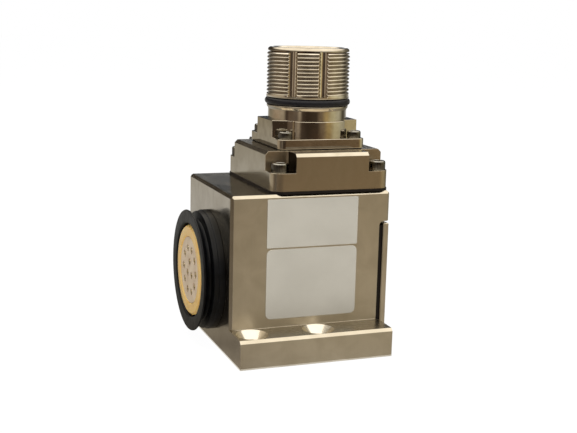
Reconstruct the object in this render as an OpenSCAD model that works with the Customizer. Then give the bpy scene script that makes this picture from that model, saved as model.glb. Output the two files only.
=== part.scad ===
// Electrical module of a robot tool changer: a machined housing with a lip-sealed contact
// block on one side, a side cover, and a threaded M23 cable connector on top.
// Origin: centre of the housing's base face. +Z up, the contacts face -X, the ledge faces -Y.

/* [Housing] */
// Width of the housing, from the contact side to the cover side
body_w = 45; // [44:0.5:56]
// Depth of the housing, without the ledge
body_d = 40.5; // [40:0.5:52]
// Height of the housing
body_h = 43.4; // [42:0.2:56]
// Chamfer along the outer edges
edge_chamfer = 0.75; // [0.4:0.05:1]
// Thickness of the wall that carries the contact block
contact_wall = 8; // [6:0.5:10]
// Width of the wiring chamber
chamber_w = 26.6; // [25:0.2:28]
// Bottom of the wiring chamber above the base
chamber_floor = 7.2; // [6.8:0.1:7.6]
// Height of the wiring chamber
chamber_h = 24.8; // [24.4:0.1:25.2]
// Corner radius of the wiring chamber
chamber_r = 3; // [2:0.5:4]
// Diameter of the wire passage to the connector
passage_d = 16; // [15.4:0.2:17]

/* [Ledge] */
// How far the mounting ledge stands out
ledge_d = 9.6; // [9.4:0.1:14]
// Height of the mounting ledge
ledge_h = 7.7; // [5:0.1:9]
// Distance between the two mounting screw holes
ledge_pitch = 18.5; // [12:0.5:22]
// First mounting screw hole from the contact side
ledge_first = 4.8; // [4.6:0.1:8]
// How far the ledge runs past the cover recess
ledge_past_recess = 0.6; // [0:0.1:0.8]
// Clearance hole for an M4 mounting screw
mount_hole_d = 4.5; // [4.3:0.1:4.8]
// Outer diameter of the countersinks
countersink_d = 8.6; // [8:0.1:8.8]

/* [Side cover] */
// Thickness of the cover plate
cover_t = 1.6; // [1.55:0.05:2.2]
// Thickness of the cover's gasket
cover_gasket_t = 1.3; // [0.6:0.1:1.6]
// Height of the recess that the cover sits in
recess_h = 35.1; // [34.8:0.1:35.8]
// Open gap over and under the cover plate
cover_gap = 0.65; // [0.4:0.05:0.9]
// Corner radius inside the recess
recess_r = 1.2; // [0.8:0.1:1.3]
// Cover screw distance from the cover's edges
cover_screw_inset = 3.2; // [3:0.1:3.6]

/* [Contact block] */
// Height of the contact block's axis above the base
contact_h = 19.7; // [19.4:0.1:20]
// Diameter of the carrier's hub
hub_d = 25; // [24.8:0.1:26]
// How far the hub stands out of the housing
hub_out = 5.7; // [5.2:0.1:7]
// Diameter of the carrier's sealing flange
carrier_flange_d = 29.2; // [28.8:0.1:29.6]
// Thickness of the carrier's sealing flange
carrier_flange_t = 1.6; // [1.4:0.1:2]
// Diameter of the carrier's threaded shank
shank_d = 21.2; // [20.8:0.1:21.4]
// Diameter of the contact insert
insert_d = 18.4; // [18:0.1:19.2]
// Depth of the insert's face below the carrier's face
insert_recess = 0.25; // [0.1:0.05:0.6]
// Outer diameter of the ring nut behind the wall
ring_nut_d = 24.4; // [24:0.1:24.6]
// Thickness of the ring nut
ring_nut_t = 2.4; // [1.8:0.1:3]

/* [Contacts] */
// Contacts on the outer circle
outer_count = 10; // [8:1:12]
// Radius of the outer contact circle
outer_r = 6.1; // [5.6:0.1:6.4]
// Contacts on the inner circle
inner_count = 3; // [2:1:4]
// Radius of the inner contact circle
inner_r = 2.3; // [2.2:0.1:2.6]
// Diameter of a contact tip
tip_d = 1.1; // [0.9:0.05:1.2]
// Diameter of a contact's body and solder cup
contact_d = 1.6; // [1.5:0.05:1.7]
// Diameter of the countersunk mouth round each contact tip
mouth_d = 2; // [1.9:0.05:2.3]
// Diameter of one insulated wire
wire_d = 1.1; // [0.9:0.05:1.15]
// Bend radius at the middle of the wire bundle
wire_bend = 10; // [9.5:0.1:10.5]

/* [Lip seal] */
// Outer diameter of the seal's body
seal_body_d = 32.4; // [31:0.1:34]
// Width of the seal's body
seal_body_w = 3.1; // [2.6:0.05:3.4]
// Outer diameter of the seal's lip
seal_lip_d = 33.4; // [32:0.1:36]
// Open gap between the hub and the lip
seal_lip_gap = 0.4; // [0.2:0.1:1]
// How far the lip stands past the hub's face
seal_lip_lead = 0.2; // [0:0.05:0.6]

/* [Adapter block] */
// Width of the adapter block
adapter_w = 33.5; // [32:0.1:33.8]
// How far the adapter's ends stand back from the housing's faces
adapter_step = 0.3; // [0.25:0.05:2]
// Height of the adapter block
adapter_h = 9.9; // [8.4:0.1:14]
// Corner radius of the adapter block
adapter_r = 3.2; // [2:0.1:3.6]
// Chamfer along the adapter's top edges
adapter_chamfer = 0.85; // [0.4:0.05:1]
// Size of the corner notches that clear the screw heads
notch = 6.4; // [5.8:0.1:6.8]
// Height of the notch floors above the adapter's underside
notch_floor = 4.8; // [3.6:0.1:5.4]
// Adapter screw distance from the adapter's faces
adapter_screw_inset = 2.75; // [2.7:0.05:3]
// Thickness of the gasket under the adapter
adapter_gasket_t = 0.65; // [0.4:0.05:1]
// How far that gasket swells past the adapter
gasket_swell = 0.2; // [0:0.05:0.25]

/* [Connector] */
// Connector axis from the cover side of the housing
connector_inset = 16.9; // [16.8:0.05:17.4]
// Side of the connector's square flange
flange_w = 25; // [24.6:0.1:26]
// Thickness of the flange
flange_t = 2.55; // [2:0.05:3.2]
// Corner radius of the flange
flange_r = 2; // [1:0.1:2.4]
// Thickness of the gasket under the flange
flange_gasket_t = 0.2; // [0.15:0.05:0.5]
// Flange screw distance from the flange's edges
flange_screw_inset = 2.5; // [2.3:0.05:2.7]
// Height of the collar over the flange
collar_h = 4.6; // [4:0.05:6]
// Room between a flange screw's head and the collar
pocket_gap = 0.85; // [0.4:0.05:1.4]
// Room cut for a flange screw's head where it comes near the neck
head_gap = 0.5; // [0.3:0.05:0.6]
// How far the collar's round front and back stand in from the flange's edges
collar_step = 0.2; // [0.1:0.1:0.8]
// How much narrower the collar's arms are at their ends, on each side
arm_taper = 1.2; // [0:0.1:1.6]
// Diameter of the neck
neck_d = 21.8; // [21.4:0.1:22]
// Height of the neck
neck_h = 3.8; // [3:0.1:5]
// Major diameter of the coupling thread
thread_d = 23; // [22.8:0.1:23.2]
// Length of the coupling thread and the collar under it
thread_l = 12.3; // [9:0.05:13]
// Diameter of the connector's bore
bore_d = 18.4; // [18.2:0.05:18.6]
// Height of the rounded rim over the thread
rim_h = 1; // [0.8:0.1:1.4]
// Width of the flutes along the thread
flute_w = 2.8; // [2:0.1:3.4]
// Distance of the flutes' floors from the axis
flute_floor = 10.4; // [10.3:0.05:10.8]
// Cross-section of the O-ring under the thread
o_ring_t = 1.9; // [1.6:0.05:2]
// Depth from the rim down to the insulator's face
socket_depth = 12; // [10:0.1:13]
// How far the contact pins stay below the rim
pin_below_rim = 5; // [4.5:0.1:6]

/* [Labels] */
// Distance of the labels from the contact side
label_inset = 9.9; // [2:0.1:16]
// Distance of the lower label from the ledge
label_over_ledge = 2.3; // [0.4:0.1:4]
// Width of both labels
label_w = 25.7; // [16:0.1:30]
// Height of the upper label
upper_label_h = 13; // [8:0.1:13.2]
// Height of the lower label
lower_label_h = 18.9; // [10:0.1:19]
// Thickness of the label film
label_t = 0.12; // [0.08:0.01:0.2]

/* [Hidden] */
$fn = 64;
over = 1; // how far a cut runs past a face
slip = 0.03; // clearance between a piece and the seat it slides into
left_x = -body_w / 2;
right_x = body_w / 2;
front_y = -body_d / 2;
back_y = body_d / 2;
recess_x = right_x - cover_t - cover_gasket_t;
ledge_w = recess_x - left_x + ledge_past_recess;
chamber_x = left_x + contact_wall;
chamber_top = chamber_floor + chamber_h;
connector_x = right_x - connector_inset;
adapter_d = body_d - 2 * adapter_step;
flange_screw_at = flange_w / 2 - flange_screw_inset;
// Screws, each as [thread diameter, head diameter, head height, socket width, length, clearance hole]
m2_cap = [2, 3.8, 2, 1.5, 7, 2.4];
m25_cap = [2.5, 4.5, 2.5, 2, 10, 2.9];
m25_flat = [2.5, 4.7, 1.5, 1.5, 8, 2.9];
tap_extra = 1; // how far a tapped hole runs past its screw
collar_half = flange_screw_at - m2_cap[1] / 2 - pocket_gap;
collar_d = flange_w - 2 * collar_step;
// Heights, from the base upwards
adapter_z = body_h + adapter_gasket_t;
adapter_top = adapter_z + adapter_h;
flange_z = adapter_top + flange_gasket_t;
flange_top = flange_z + flange_t;
collar_top = flange_top + collar_h;
groove_z = collar_top + neck_h;
groove_w = o_ring_t + 0.15;
thread_z = groove_z + groove_w;
thread_top = thread_z + thread_l;
relief_w = 0.35; // run-out groove between the thread and the rim
rim_top = thread_top + relief_w + rim_h;
groove_floor = thread_d / 2 + 0.35 - o_ring_t; // the O-ring stands 0.35 proud of the thread
insulator_top = rim_top - socket_depth;
insulator_z = flange_top + 1.6; // the shoulder that the insulator stands on
pin_top = rim_top - pin_below_rim;
shell_rear_r = passage_d / 2 + 0.4;
cup_l = 5; // solder cup behind an insulator
cup_depth = 1.6; // how far a wire goes into its cup
cup_wall = 0.2;
// Contact block, measured from the wall's outer face inwards
insert_back = 6;
shank_end = contact_wall + ring_nut_t + 0.6;
tip_lead = 0.1; // the tips stand this far out of the insert
mouth_depth = 0.5;
pin_end = insert_back + cup_l;
outer_angles = [for (i = [0 : outer_count - 1]) i * 360 / outer_count];
inner_angles = [for (i = [0 : inner_count - 1]) 90 + i * 360 / inner_count];
// Each contact as [across, up] from the contact block's axis
contacts = concat([for (a = outer_angles) outer_r * [cos(a), sin(a)]],
                  [for (a = inner_angles) inner_r * [cos(a), sin(a)]]);
cover_z = cover_gap;
cover_h = recess_h - 2 * cover_gap;
label_left = left_x + label_inset;
lower_label_z = ledge_h + label_over_ledge;
label_gap = 0.4;
nickel = "#B8AB93";
steel = "#8A8A86";
black = "#26262A";
amber = "#C9A45C";
film = "#BDB7AB";

// A prism along Z whose outline is a rectangle with round corners
module rounded_prism(size, r) {
    for (inset = [[r, 0], [0, r]])
        translate([inset[0], inset[1], 0])
            cube([size[0] - 2 * inset[0], size[1] - 2 * inset[1], size[2]]);
    for (x = [r, size[0] - r], y = [r, size[1] - r])
        translate([x, y, 0])
            cylinder(r = r, h = size[2]);
}

// A square outline with its corners cut off at 45 degrees
module cut_square(w, h, c) {
    polygon([[c, 0], [w - c, 0], [w, c], [w, h - c], [w - c, h], [c, h], [0, h - c], [0, c]]);
}

// The outline of a bar whose far upper edge is cut off at 45 degrees
module cut_front(w, h, c) {
    polygon([[0, 0], [w, 0], [w, h - c], [w - c, h], [0, h]]);
}

// A box with every edge chamfered
module chamfered_box(size, c) {
    intersection() {
        linear_extrude(size[2])
            cut_square(size[0], size[1], c);
        translate([0, size[1], 0])
            rotate([90, 0, 0])
                linear_extrude(size[1])
                    cut_square(size[0], size[2], c);
        rotate([90, 0, 90])
            linear_extrude(size[0])
                cut_square(size[1], size[2], c);
    }
}

// Turns what is drawn along +Z so that it points along +X from the wall's outer face
module on_contact_axis() {
    translate([left_x, 0, contact_h])
        rotate([0, 90, 0])
            children();
}

// Repeats its children at the four corners of a rectangle
module at_corners(dx, dy) {
    for (x = [-dx, dx], y = [-dy, dy])
        translate([x, y, 0])
            children();
}

// A cap screw standing on its head's underside, thread down
module cap_screw(s) {
    edge = 0.25;
    difference() {
        union() {
            cylinder(d = s[1], h = s[2] - edge);
            translate([0, 0, s[2] - edge])
                cylinder(d1 = s[1], d2 = s[1] - 2 * edge, h = edge);
            translate([0, 0, -s[4]])
                cylinder(d = s[0] - 2 * slip, h = s[4]);
        }
        translate([0, 0, s[2] / 2])
            cylinder(d = s[3] / cos(30), h = s[2], $fn = 6);
    }
}

// A countersunk screw with its head's top face at zero, thread down
module flat_screw(s) {
    rim = 0.2;
    difference() {
        union() {
            translate([0, 0, -rim])
                cylinder(d = s[1], h = rim);
            translate([0, 0, -s[2]])
                cylinder(d1 = s[0] - 2 * slip, d2 = s[1], h = s[2] - rim);
            translate([0, 0, -s[4]])
                cylinder(d = s[0] - 2 * slip, h = s[4] - s[2]);
        }
        translate([0, 0, -s[2] * 0.6])
            cylinder(d = s[3] / cos(30), h = s[2], $fn = 6);
    }
}

// Places the cover's screws, pointing into the housing
module at_cover_screws() {
    for (y = [-1, 1] * (body_d / 2 - cover_screw_inset))
        for (z = [cover_z + cover_screw_inset, cover_z + cover_h - cover_screw_inset])
            translate([right_x, y, z])
                rotate([0, 90, 0])
                    children();
}

// Places the adapter's screws on the notch floors
module at_adapter_screws() {
    translate([connector_x, 0, adapter_z + notch_floor])
        at_corners(adapter_w / 2 - adapter_screw_inset, adapter_d / 2 - adapter_screw_inset)
            children();
}

// Places the flange's screws on top of the flange
module at_flange_screws() {
    translate([connector_x, 0, flange_top])
        at_corners(flange_screw_at, flange_screw_at)
            children();
}

// The two countersunk mounting holes through the ledge
module ledge_holes() {
    cone_h = (countersink_d - mount_hole_d) / 2;
    middle = (ledge_d - edge_chamfer) / 2; // of the ledge's flat top
    for (i = [0, 1])
        translate([left_x + ledge_first + i * ledge_pitch, front_y - middle, 0]) {
            translate([0, 0, -over])
                cylinder(d = mount_hole_d, h = ledge_h + 2 * over);
            translate([0, 0, ledge_h - cone_h])
                cylinder(d1 = mount_hole_d, d2 = countersink_d + 2 * over, h = cone_h + over);
        }
}

// The side recess for the cover, with a round inner corner
module cover_recess() {
    deep = right_x - recess_x + over;
    translate([recess_x, front_y, -over])
        cube([deep, body_d + over, recess_h + over - recess_r]);
    translate([recess_x + recess_r, front_y, -over])
        cube([deep, body_d + over, recess_h + over]);
    translate([recess_x + recess_r, back_y + over, recess_h - recess_r])
        rotate([90, 0, 0])
            cylinder(r = recess_r, h = body_d + over);
}

// The machined body: block and ledge in one piece, bored for the contacts and the wiring.
// The base face is milled last, so its edges have no chamfer.
module housing() {
    color(nickel)
        difference() {
            union() {
                translate([left_x, front_y, -edge_chamfer])
                    chamfered_box([body_w, body_d, body_h + edge_chamfer], edge_chamfer);
                translate([left_x, front_y + over, 0])
                    rotate([90, 0, 90])
                        linear_extrude(ledge_w)
                            mirror([1, 0])
                                cut_front(ledge_d + over, ledge_h, edge_chamfer);
            }
            translate([left_x - over, front_y - ledge_d, -over])
                cube([body_w + 2 * over, body_d + ledge_d + over, over]);
            cover_recess();
            ledge_holes();
            translate([chamber_x, -chamber_w / 2, chamber_floor])
                rotate([90, 0, 90])
                    rounded_prism([chamber_w, chamber_h, body_w], chamber_r);
            on_contact_axis() {
                translate([0, 0, -over])
                    cylinder(d = carrier_flange_d + 2 * slip, h = over + carrier_flange_t);
                cylinder(d = shank_d + 2 * slip, h = contact_wall + over);
                translate([0, 0, contact_wall])
                    cylinder(d = ring_nut_d + 2 * slip, h = ring_nut_t + over);
            }
            translate([connector_x, 0, chamber_top - over])
                cylinder(d = passage_d, h = body_h);
            at_cover_screws()
                translate([0, 0, -m25_flat[4] - tap_extra])
                    cylinder(d = m25_flat[0], h = m25_flat[4] + tap_extra + over);
            at_adapter_screws()
                translate([0, 0, -m25_cap[4] - tap_extra])
                    cylinder(d = m25_cap[0], h = m25_cap[4] + tap_extra);
        }
}

// The side cover over the wiring chamber
module cover_plate() {
    bevel = 0.2;
    edge_gap = 0.1;
    depth = body_d - 2 * edge_gap;
    color(nickel)
        difference() {
            translate([right_x - cover_t, front_y + edge_gap, cover_z])
                chamfered_box([cover_t, depth, cover_h], bevel);
            at_cover_screws() {
                translate([0, 0, -cover_t - over])
                    cylinder(d = m25_flat[5], h = cover_t + 2 * over);
                translate([0, 0, -m25_flat[2]])
                    cylinder(d1 = m25_flat[0] + 2 * slip, d2 = m25_flat[1] + 2 * slip, h = m25_flat[2] - 0.2);
                translate([0, 0, -0.2])
                    cylinder(d = m25_flat[1] + 2 * slip, h = 0.2 + over);
            }
        }
}

// The rubber frame between the cover and the housing
module cover_gasket() {
    inset = max(0.5, recess_r - cover_gap + slip); // keeps clear of the recess's round corner
    lip = 0.4;
    window_w = chamber_w + 2 * lip;
    color(black)
        difference() {
            translate([recess_x, front_y + inset, cover_z + inset])
                cube([cover_gasket_t, body_d - 2 * inset, cover_h - 2 * inset]);
            translate([recess_x - over, -window_w / 2, chamber_floor - lip])
                rotate([90, 0, 90])
                    rounded_prism([window_w, chamber_h + 2 * lip, cover_gasket_t + 2 * over], chamber_r);
            at_cover_screws()
                translate([0, 0, -cover_t - cover_gasket_t - over])
                    cylinder(d = m25_flat[5], h = cover_gasket_t + 2 * over);
        }
}

module cover_screws() {
    color(steel)
        at_cover_screws()
            flat_screw(m25_flat);
}

// The turned polymer carrier: hub outside, sealing flange in the wall, threaded shank inside
module contact_carrier() {
    bevel = 0.45;
    mouth = 0.2;
    shoulder = 0.9;
    color(amber)
        on_contact_axis()
            difference() {
                rotate_extrude()
                    polygon([[insert_d / 2 - shoulder, insert_back], [insert_d / 2, insert_back],
                             [insert_d / 2, mouth - hub_out], [insert_d / 2 + mouth, -hub_out],
                             [hub_d / 2 - bevel, -hub_out], [hub_d / 2, bevel - hub_out], [hub_d / 2, 0],
                             [carrier_flange_d / 2, 0], [carrier_flange_d / 2, carrier_flange_t],
                             [shank_d / 2, carrier_flange_t], [shank_d / 2, shank_end],
                             [insert_d / 2 - shoulder, shank_end]]);
                translate([0, 0, carrier_flange_t - 0.8])
                    difference() {
                        cylinder(r = shank_d / 2 + 2.4, h = 2);
                        translate([0, 0, -over])
                            cylinder(r = shank_d / 2 + 1, h = 2 + 2 * over);
                    }
            }
}

// The O-ring in the flange's back face
module carrier_o_ring() {
    thick = 0.8;
    color(black)
        on_contact_axis()
            translate([0, 0, carrier_flange_t - thick / 2])
                rotate_extrude()
                    translate([shank_d / 2 + 1.7, 0])
                        circle(d = thick - 0.04, $fn = 32);
}

// The ring nut that pulls the carrier into the wall, with four spanner slots
module carrier_ring_nut() {
    slot_w = 2.2;
    slot_deep = 0.9;
    color(nickel)
        on_contact_axis()
            translate([0, 0, contact_wall])
                difference() {
                    cylinder(d = ring_nut_d, h = ring_nut_t);
                    translate([0, 0, -over])
                        cylinder(d = shank_d + 2 * slip, h = ring_nut_t + 2 * over);
                    for (a = [0 : 90 : 270])
                        rotate([0, 0, a])
                            translate([ring_nut_d / 2 - slot_deep, -slot_w / 2, ring_nut_t / 2])
                                cube([slot_deep + over, slot_w, ring_nut_t]);
                }
}

// Places its children at each contact of the contact block
module at_block_contacts() {
    for (c = contacts)
        translate([left_x, c[0], contact_h + c[1]])
            rotate([0, 90, 0])
                children();
}

// The insulating disc that holds the contacts
module contact_insert() {
    face = insert_recess - hub_out;
    color("#C8B7A2")
        difference() {
            on_contact_axis()
                translate([0, 0, face])
                    cylinder(d = insert_d - 2 * slip, h = insert_back - face);
            at_block_contacts() {
                translate([0, 0, face - over])
                    cylinder(d = mouth_d, h = over + mouth_depth);
                translate([0, 0, face])
                    cylinder(d = contact_d + 2 * slip, h = insert_back - face + over);
            }
        }
}

// The contacts of the block: a domed tip in front, a solder cup behind
module contact_pins() {
    face = insert_recess - hub_out;
    dome = 0.25;
    color("#D9C58A")
        at_block_contacts()
            difference() {
                union() {
                    translate([0, 0, face - tip_lead])
                        cylinder(d1 = tip_d - 2 * dome, d2 = tip_d, h = dome);
                    translate([0, 0, face - tip_lead + dome])
                        cylinder(d = tip_d, h = tip_lead + mouth_depth);
                    translate([0, 0, face + mouth_depth])
                        cylinder(d = contact_d, h = pin_end - face - mouth_depth);
                }
                translate([0, 0, pin_end - cup_depth])
                    cylinder(d = contact_d - 2 * cup_wall, h = cup_depth + over);
            }
}

// The lip seal round the hub: a square body against the wall and a flared lip in front
module lip_seal() {
    base_r = hub_d / 2 + slip;
    body_r = seal_body_d / 2;
    foot_r = body_r + 0.3;
    foot_w = seal_body_w * 0.55;
    lip_r = seal_lip_d / 2;
    lip_in = hub_d / 2 + seal_lip_gap;
    lip_rise = 1.3;
    front = hub_out + seal_lip_lead;
    soft = 0.4;
    web = 1.1;
    color(black)
        translate([left_x, 0, contact_h])
            rotate([0, -90, 0])
                rotate_extrude($fn = 96)
                    polygon([[base_r, 0], [foot_r, 0], [foot_r, foot_w - 0.1], [body_r, foot_w + 0.1],
                             [body_r, seal_body_w - soft], [body_r - soft, seal_body_w],
                             [lip_in + web, seal_body_w], [lip_in + web, front - lip_rise - soft],
                             [lip_r - soft, front - soft - 0.2], [lip_r, front - soft], [lip_r - 0.1, front],
                             [lip_in + soft, front - 0.1], [lip_in, front - soft], [lip_in, seal_body_w],
                             [base_r, seal_body_w - soft]]);
}

// One wire of the loom, straight out of its contact, round the bend and up to the connector
module wire(c) {
    bend_r = wire_bend - c[1];
    bend_x = connector_x - wire_bend;
    bend_z = contact_h + wire_bend;
    start_x = left_x + pin_end - cup_depth;
    translate([start_x, c[0], contact_h + c[1]])
        rotate([0, 90, 0])
            cylinder(d = wire_d, h = bend_x - start_x, $fn = 16);
    translate([bend_x, c[0], bend_z])
        rotate([90, 0, 0])
            rotate([0, 0, -90])
                rotate_extrude(angle = 90, $fn = 32)
                    translate([bend_r, 0])
                        circle(d = wire_d, $fn = 16);
    translate([connector_x - c[1], c[0], bend_z])
        cylinder(d = wire_d, h = insulator_z - cup_l + cup_depth - bend_z, $fn = 16);
}

module wire_loom() {
    color("#D8D4C8")
        for (c = contacts)
            wire(c);
}

// The block between housing and connector, notched at its corners for the screws
module adapter_block() {
    top_cut = adapter_chamfer * sqrt(2);
    color(nickel)
        difference() {
            translate([connector_x - adapter_w / 2, -adapter_d / 2, adapter_z])
                rounded_prism([adapter_w, adapter_d, adapter_h], adapter_r);
            translate([connector_x, 0, adapter_z - over])
                cylinder(d = passage_d, h = adapter_h + 2 * over);
            for (sx = [-1, 1], sy = [-1, 1])
                translate([connector_x, 0, adapter_z + notch_floor])
                    at_notch(sx, sy)
                        rounded_prism([notch + adapter_r, notch + adapter_r, adapter_h], 0.8);
            for (sy = [-1, 1])
                translate([connector_x, sy * adapter_d / 2, adapter_top])
                    rotate([45, 0, 0])
                        cube([adapter_w + 2 * over, top_cut, top_cut], center = true);
            for (sx = [-1, 1])
                translate([connector_x + sx * adapter_w / 2, 0, adapter_top])
                    rotate([0, 45, 0])
                        cube([top_cut, adapter_d + 2 * over, top_cut], center = true);
            at_adapter_screws()
                translate([0, 0, -notch_floor - over])
                    cylinder(d = m25_cap[5], h = notch_floor + 2 * over);
            at_flange_screws()
                translate([0, 0, -m2_cap[4] - tap_extra])
                    cylinder(d = m2_cap[0], h = m2_cap[4] + tap_extra);
        }
}

// Moves a notch block to one corner of the adapter, so that it runs out past the corner
module at_notch(sx, sy) {
    mirror([sx < 0 ? 1 : 0, 0, 0])
        mirror([0, sy < 0 ? 1 : 0, 0])
            translate([adapter_w / 2 - notch, adapter_d / 2 - notch, 0])
                children();
}

// The thin gasket under the adapter, squeezed out a little all round
module adapter_gasket() {
    w = adapter_w + 2 * gasket_swell;
    d = adapter_d + 2 * gasket_swell;
    color(black)
        difference() {
            translate([connector_x - w / 2, -d / 2, body_h])
                rounded_prism([w, d, adapter_gasket_t], adapter_r + gasket_swell);
            translate([connector_x, 0, body_h - over])
                cylinder(d = passage_d + 1, h = adapter_gasket_t + 2 * over);
            at_adapter_screws()
                translate([0, 0, -m25_cap[4]])
                    cylinder(d = m25_cap[5], h = m25_cap[4]);
        }
}

module adapter_screws() {
    color(steel)
        at_adapter_screws()
            cap_screw(m25_cap);
}

// The collar over the flange: a tapered arm to each side, round front and back, four screw pockets
module collar() {
    end_half = collar_half - arm_taper;
    translate([0, 0, flange_t])
        linear_extrude(collar_h)
            polygon([[-flange_w / 2, -end_half], [-collar_half, -collar_half], [collar_half, -collar_half],
                     [flange_w / 2, -end_half], [flange_w / 2, end_half], [collar_half, collar_half],
                     [-collar_half, collar_half], [-flange_w / 2, end_half]]);
    intersection() {
        translate([0, 0, flange_t])
            cylinder(d = collar_d, h = collar_h);
        translate([-collar_half, -collar_d, 0])
            cube([2 * collar_half, 2 * collar_d, flange_t + collar_h]);
    }
}

// The connector's shell: flange, collar, neck, O-ring groove, coupling thread and rim
module connector_shell() {
    r = thread_d / 2;
    neck_r = neck_d / 2;
    lip_h = 0.9;
    lip_r = r - 0.15;
    relief_r = r - 0.6;
    rim_r = r - 0.15;
    rim_arc = [for (a = [0 : 22.5 : 90]) [rim_r + rim_h * (cos(a) - 1), rim_top + rim_h * (sin(a) - 1)]];
    mouth_bevel = 0.5;
    flute_start = thread_z + 0.65;
    flute_deep = r - flute_floor;
    flute_r = (flute_w * flute_w / 4 + flute_deep * flute_deep) / (2 * flute_deep);
    flute_angles = [-133, -90, 47, 90];
    color(nickel)
        translate([connector_x, 0, flange_z])
            difference() {
                union() {
                    translate([-flange_w / 2, -flange_w / 2, 0])
                        rounded_prism([flange_w, flange_w, flange_t], flange_r);
                    collar();
                    translate([0, 0, -flange_z])
                        rotate_extrude($fn = 96)
                            polygon(concat([[0, flange_top], [neck_r, flange_top], [neck_r, groove_z - lip_h],
                                            [lip_r, groove_z - lip_h / 2], [lip_r, groove_z],
                                            [groove_floor, groove_z], [groove_floor, thread_z],
                                            [r, thread_z], [r, thread_top], [relief_r, thread_top],
                                            [relief_r, rim_top - rim_h]],
                                           rim_arc, [[0, rim_top]]));
                }
                translate([0, 0, -over])
                    cylinder(r = shell_rear_r, h = flange_top + over);
                translate([0, 0, insulator_z - flange_z])
                    cylinder(d = bore_d, h = rim_top);
                translate([0, 0, rim_top - flange_z - mouth_bevel])
                    cylinder(d1 = bore_d, d2 = bore_d + 2 * (mouth_bevel + over), h = mouth_bevel + over);
                for (a = flute_angles)
                    rotate([0, 0, a])
                        translate([flute_floor + flute_r, 0, flute_start - flange_z])
                            cylinder(r = flute_r, h = thread_top + relief_w - flute_start);
                at_corners(flange_screw_at, flange_screw_at) {
                    translate([0, 0, -over])
                        cylinder(d = m2_cap[5], h = flange_t + 2 * over);
                    translate([0, 0, flange_t])
                        cylinder(d = m2_cap[1] + 2 * head_gap, h = collar_h);
                }
            }
}

// The O-ring that grips the cable plug's nut, in the groove under the thread
module coupling_o_ring() {
    gap = 0.02;
    color(black)
        translate([connector_x, 0, groove_z + groove_w / 2])
            rotate_extrude()
                translate([groove_floor + gap + o_ring_t / 2, 0])
                    circle(d = o_ring_t, $fn = 32);
}

module flange_gasket() {
    inset = 0.25;
    w = flange_w - 2 * inset;
    color(black)
        translate([connector_x, 0, adapter_top])
            difference() {
                translate([-w / 2, -w / 2, 0])
                    rounded_prism([w, w, flange_gasket_t], flange_r);
                translate([0, 0, -over])
                    cylinder(r = shell_rear_r, h = flange_gasket_t + 2 * over);
                at_corners(flange_screw_at, flange_screw_at)
                    translate([0, 0, -over])
                        cylinder(d = m2_cap[5], h = flange_gasket_t + 2 * over);
            }
}

module flange_screws() {
    color(steel)
        at_flange_screws()
            cap_screw(m2_cap);
}

// Places its children under each contact of the connector, matched to the block's contacts
module at_connector_contacts() {
    for (c = contacts)
        translate([connector_x - c[1], c[0], 0])
            children();
}

module connector_insert() {
    color("#3A3A38")
        difference() {
            translate([connector_x, 0, insulator_z])
                cylinder(d = bore_d - 2 * slip, h = insulator_top - insulator_z);
            at_connector_contacts()
                translate([0, 0, insulator_z - over])
                    cylinder(d = contact_d + 2 * slip, h = insulator_top);
        }
}

// The connector's contacts: a pin in the socket, a body in the insulator, a solder cup below
module connector_pins() {
    cup_z = insulator_z - cup_l;
    tip = 0.3;
    pin_d = 1;
    color("#D9C58A")
        at_connector_contacts()
            difference() {
                union() {
                    translate([0, 0, cup_z])
                        cylinder(d = contact_d, h = insulator_top - cup_z);
                    translate([0, 0, insulator_top])
                        cylinder(d = pin_d, h = pin_top - insulator_top - tip);
                    translate([0, 0, pin_top - tip])
                        cylinder(d1 = pin_d, d2 = pin_d - 2 * tip, h = tip);
                }
                translate([0, 0, cup_z - over])
                    cylinder(d = contact_d - 2 * cup_wall, h = cup_depth + over);
            }
}

// The ring that keeps the insulator on its shoulder
module insert_retainer() {
    ring_h = 0.8;
    ring_w = 0.9;
    color(steel)
        translate([connector_x, 0, insulator_top])
            difference() {
                cylinder(d = bore_d - 2 * slip, h = ring_h);
                translate([0, 0, -over])
                    cylinder(d = bore_d - 2 * ring_w, h = ring_h + 2 * over);
            }
}

// One label on the front face
module label(z, h, r) {
    translate([label_left, front_y, z])
        rotate([90, 0, 0])
            rounded_prism([label_w, h, label_t], r);
}

module upper_label() {
    color(film)
        label(lower_label_z + lower_label_h + label_gap, upper_label_h, 0.3);
}

module lower_label() {
    color(film)
        label(lower_label_z, lower_label_h, 1.5);
}

housing();
cover_plate();
cover_gasket();
cover_screws();
contact_carrier();
carrier_o_ring();
carrier_ring_nut();
contact_insert();
contact_pins();
lip_seal();
wire_loom();
adapter_block();
adapter_gasket();
adapter_screws();
connector_shell();
coupling_o_ring();
flange_gasket();
flange_screws();
connector_insert();
connector_pins();
insert_retainer();
upper_label();
lower_label();
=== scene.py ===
import math
import bmesh
import bpy
from mathutils import Matrix, Vector


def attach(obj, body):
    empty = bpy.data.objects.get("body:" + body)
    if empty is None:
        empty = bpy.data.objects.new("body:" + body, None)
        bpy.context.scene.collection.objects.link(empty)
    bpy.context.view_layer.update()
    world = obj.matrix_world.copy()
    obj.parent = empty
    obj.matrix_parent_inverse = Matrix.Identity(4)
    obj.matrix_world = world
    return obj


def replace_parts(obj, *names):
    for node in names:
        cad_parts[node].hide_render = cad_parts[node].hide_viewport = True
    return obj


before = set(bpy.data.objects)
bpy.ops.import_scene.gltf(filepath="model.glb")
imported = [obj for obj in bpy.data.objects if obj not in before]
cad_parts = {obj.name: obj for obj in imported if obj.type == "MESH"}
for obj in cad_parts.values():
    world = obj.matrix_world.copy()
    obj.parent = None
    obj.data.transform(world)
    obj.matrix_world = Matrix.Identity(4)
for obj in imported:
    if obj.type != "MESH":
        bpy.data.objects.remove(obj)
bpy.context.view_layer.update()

scene = bpy.context.scene
mm = 0.001
joinGap = 0.002 * mm            # corners nearer than this are one corner
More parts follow.
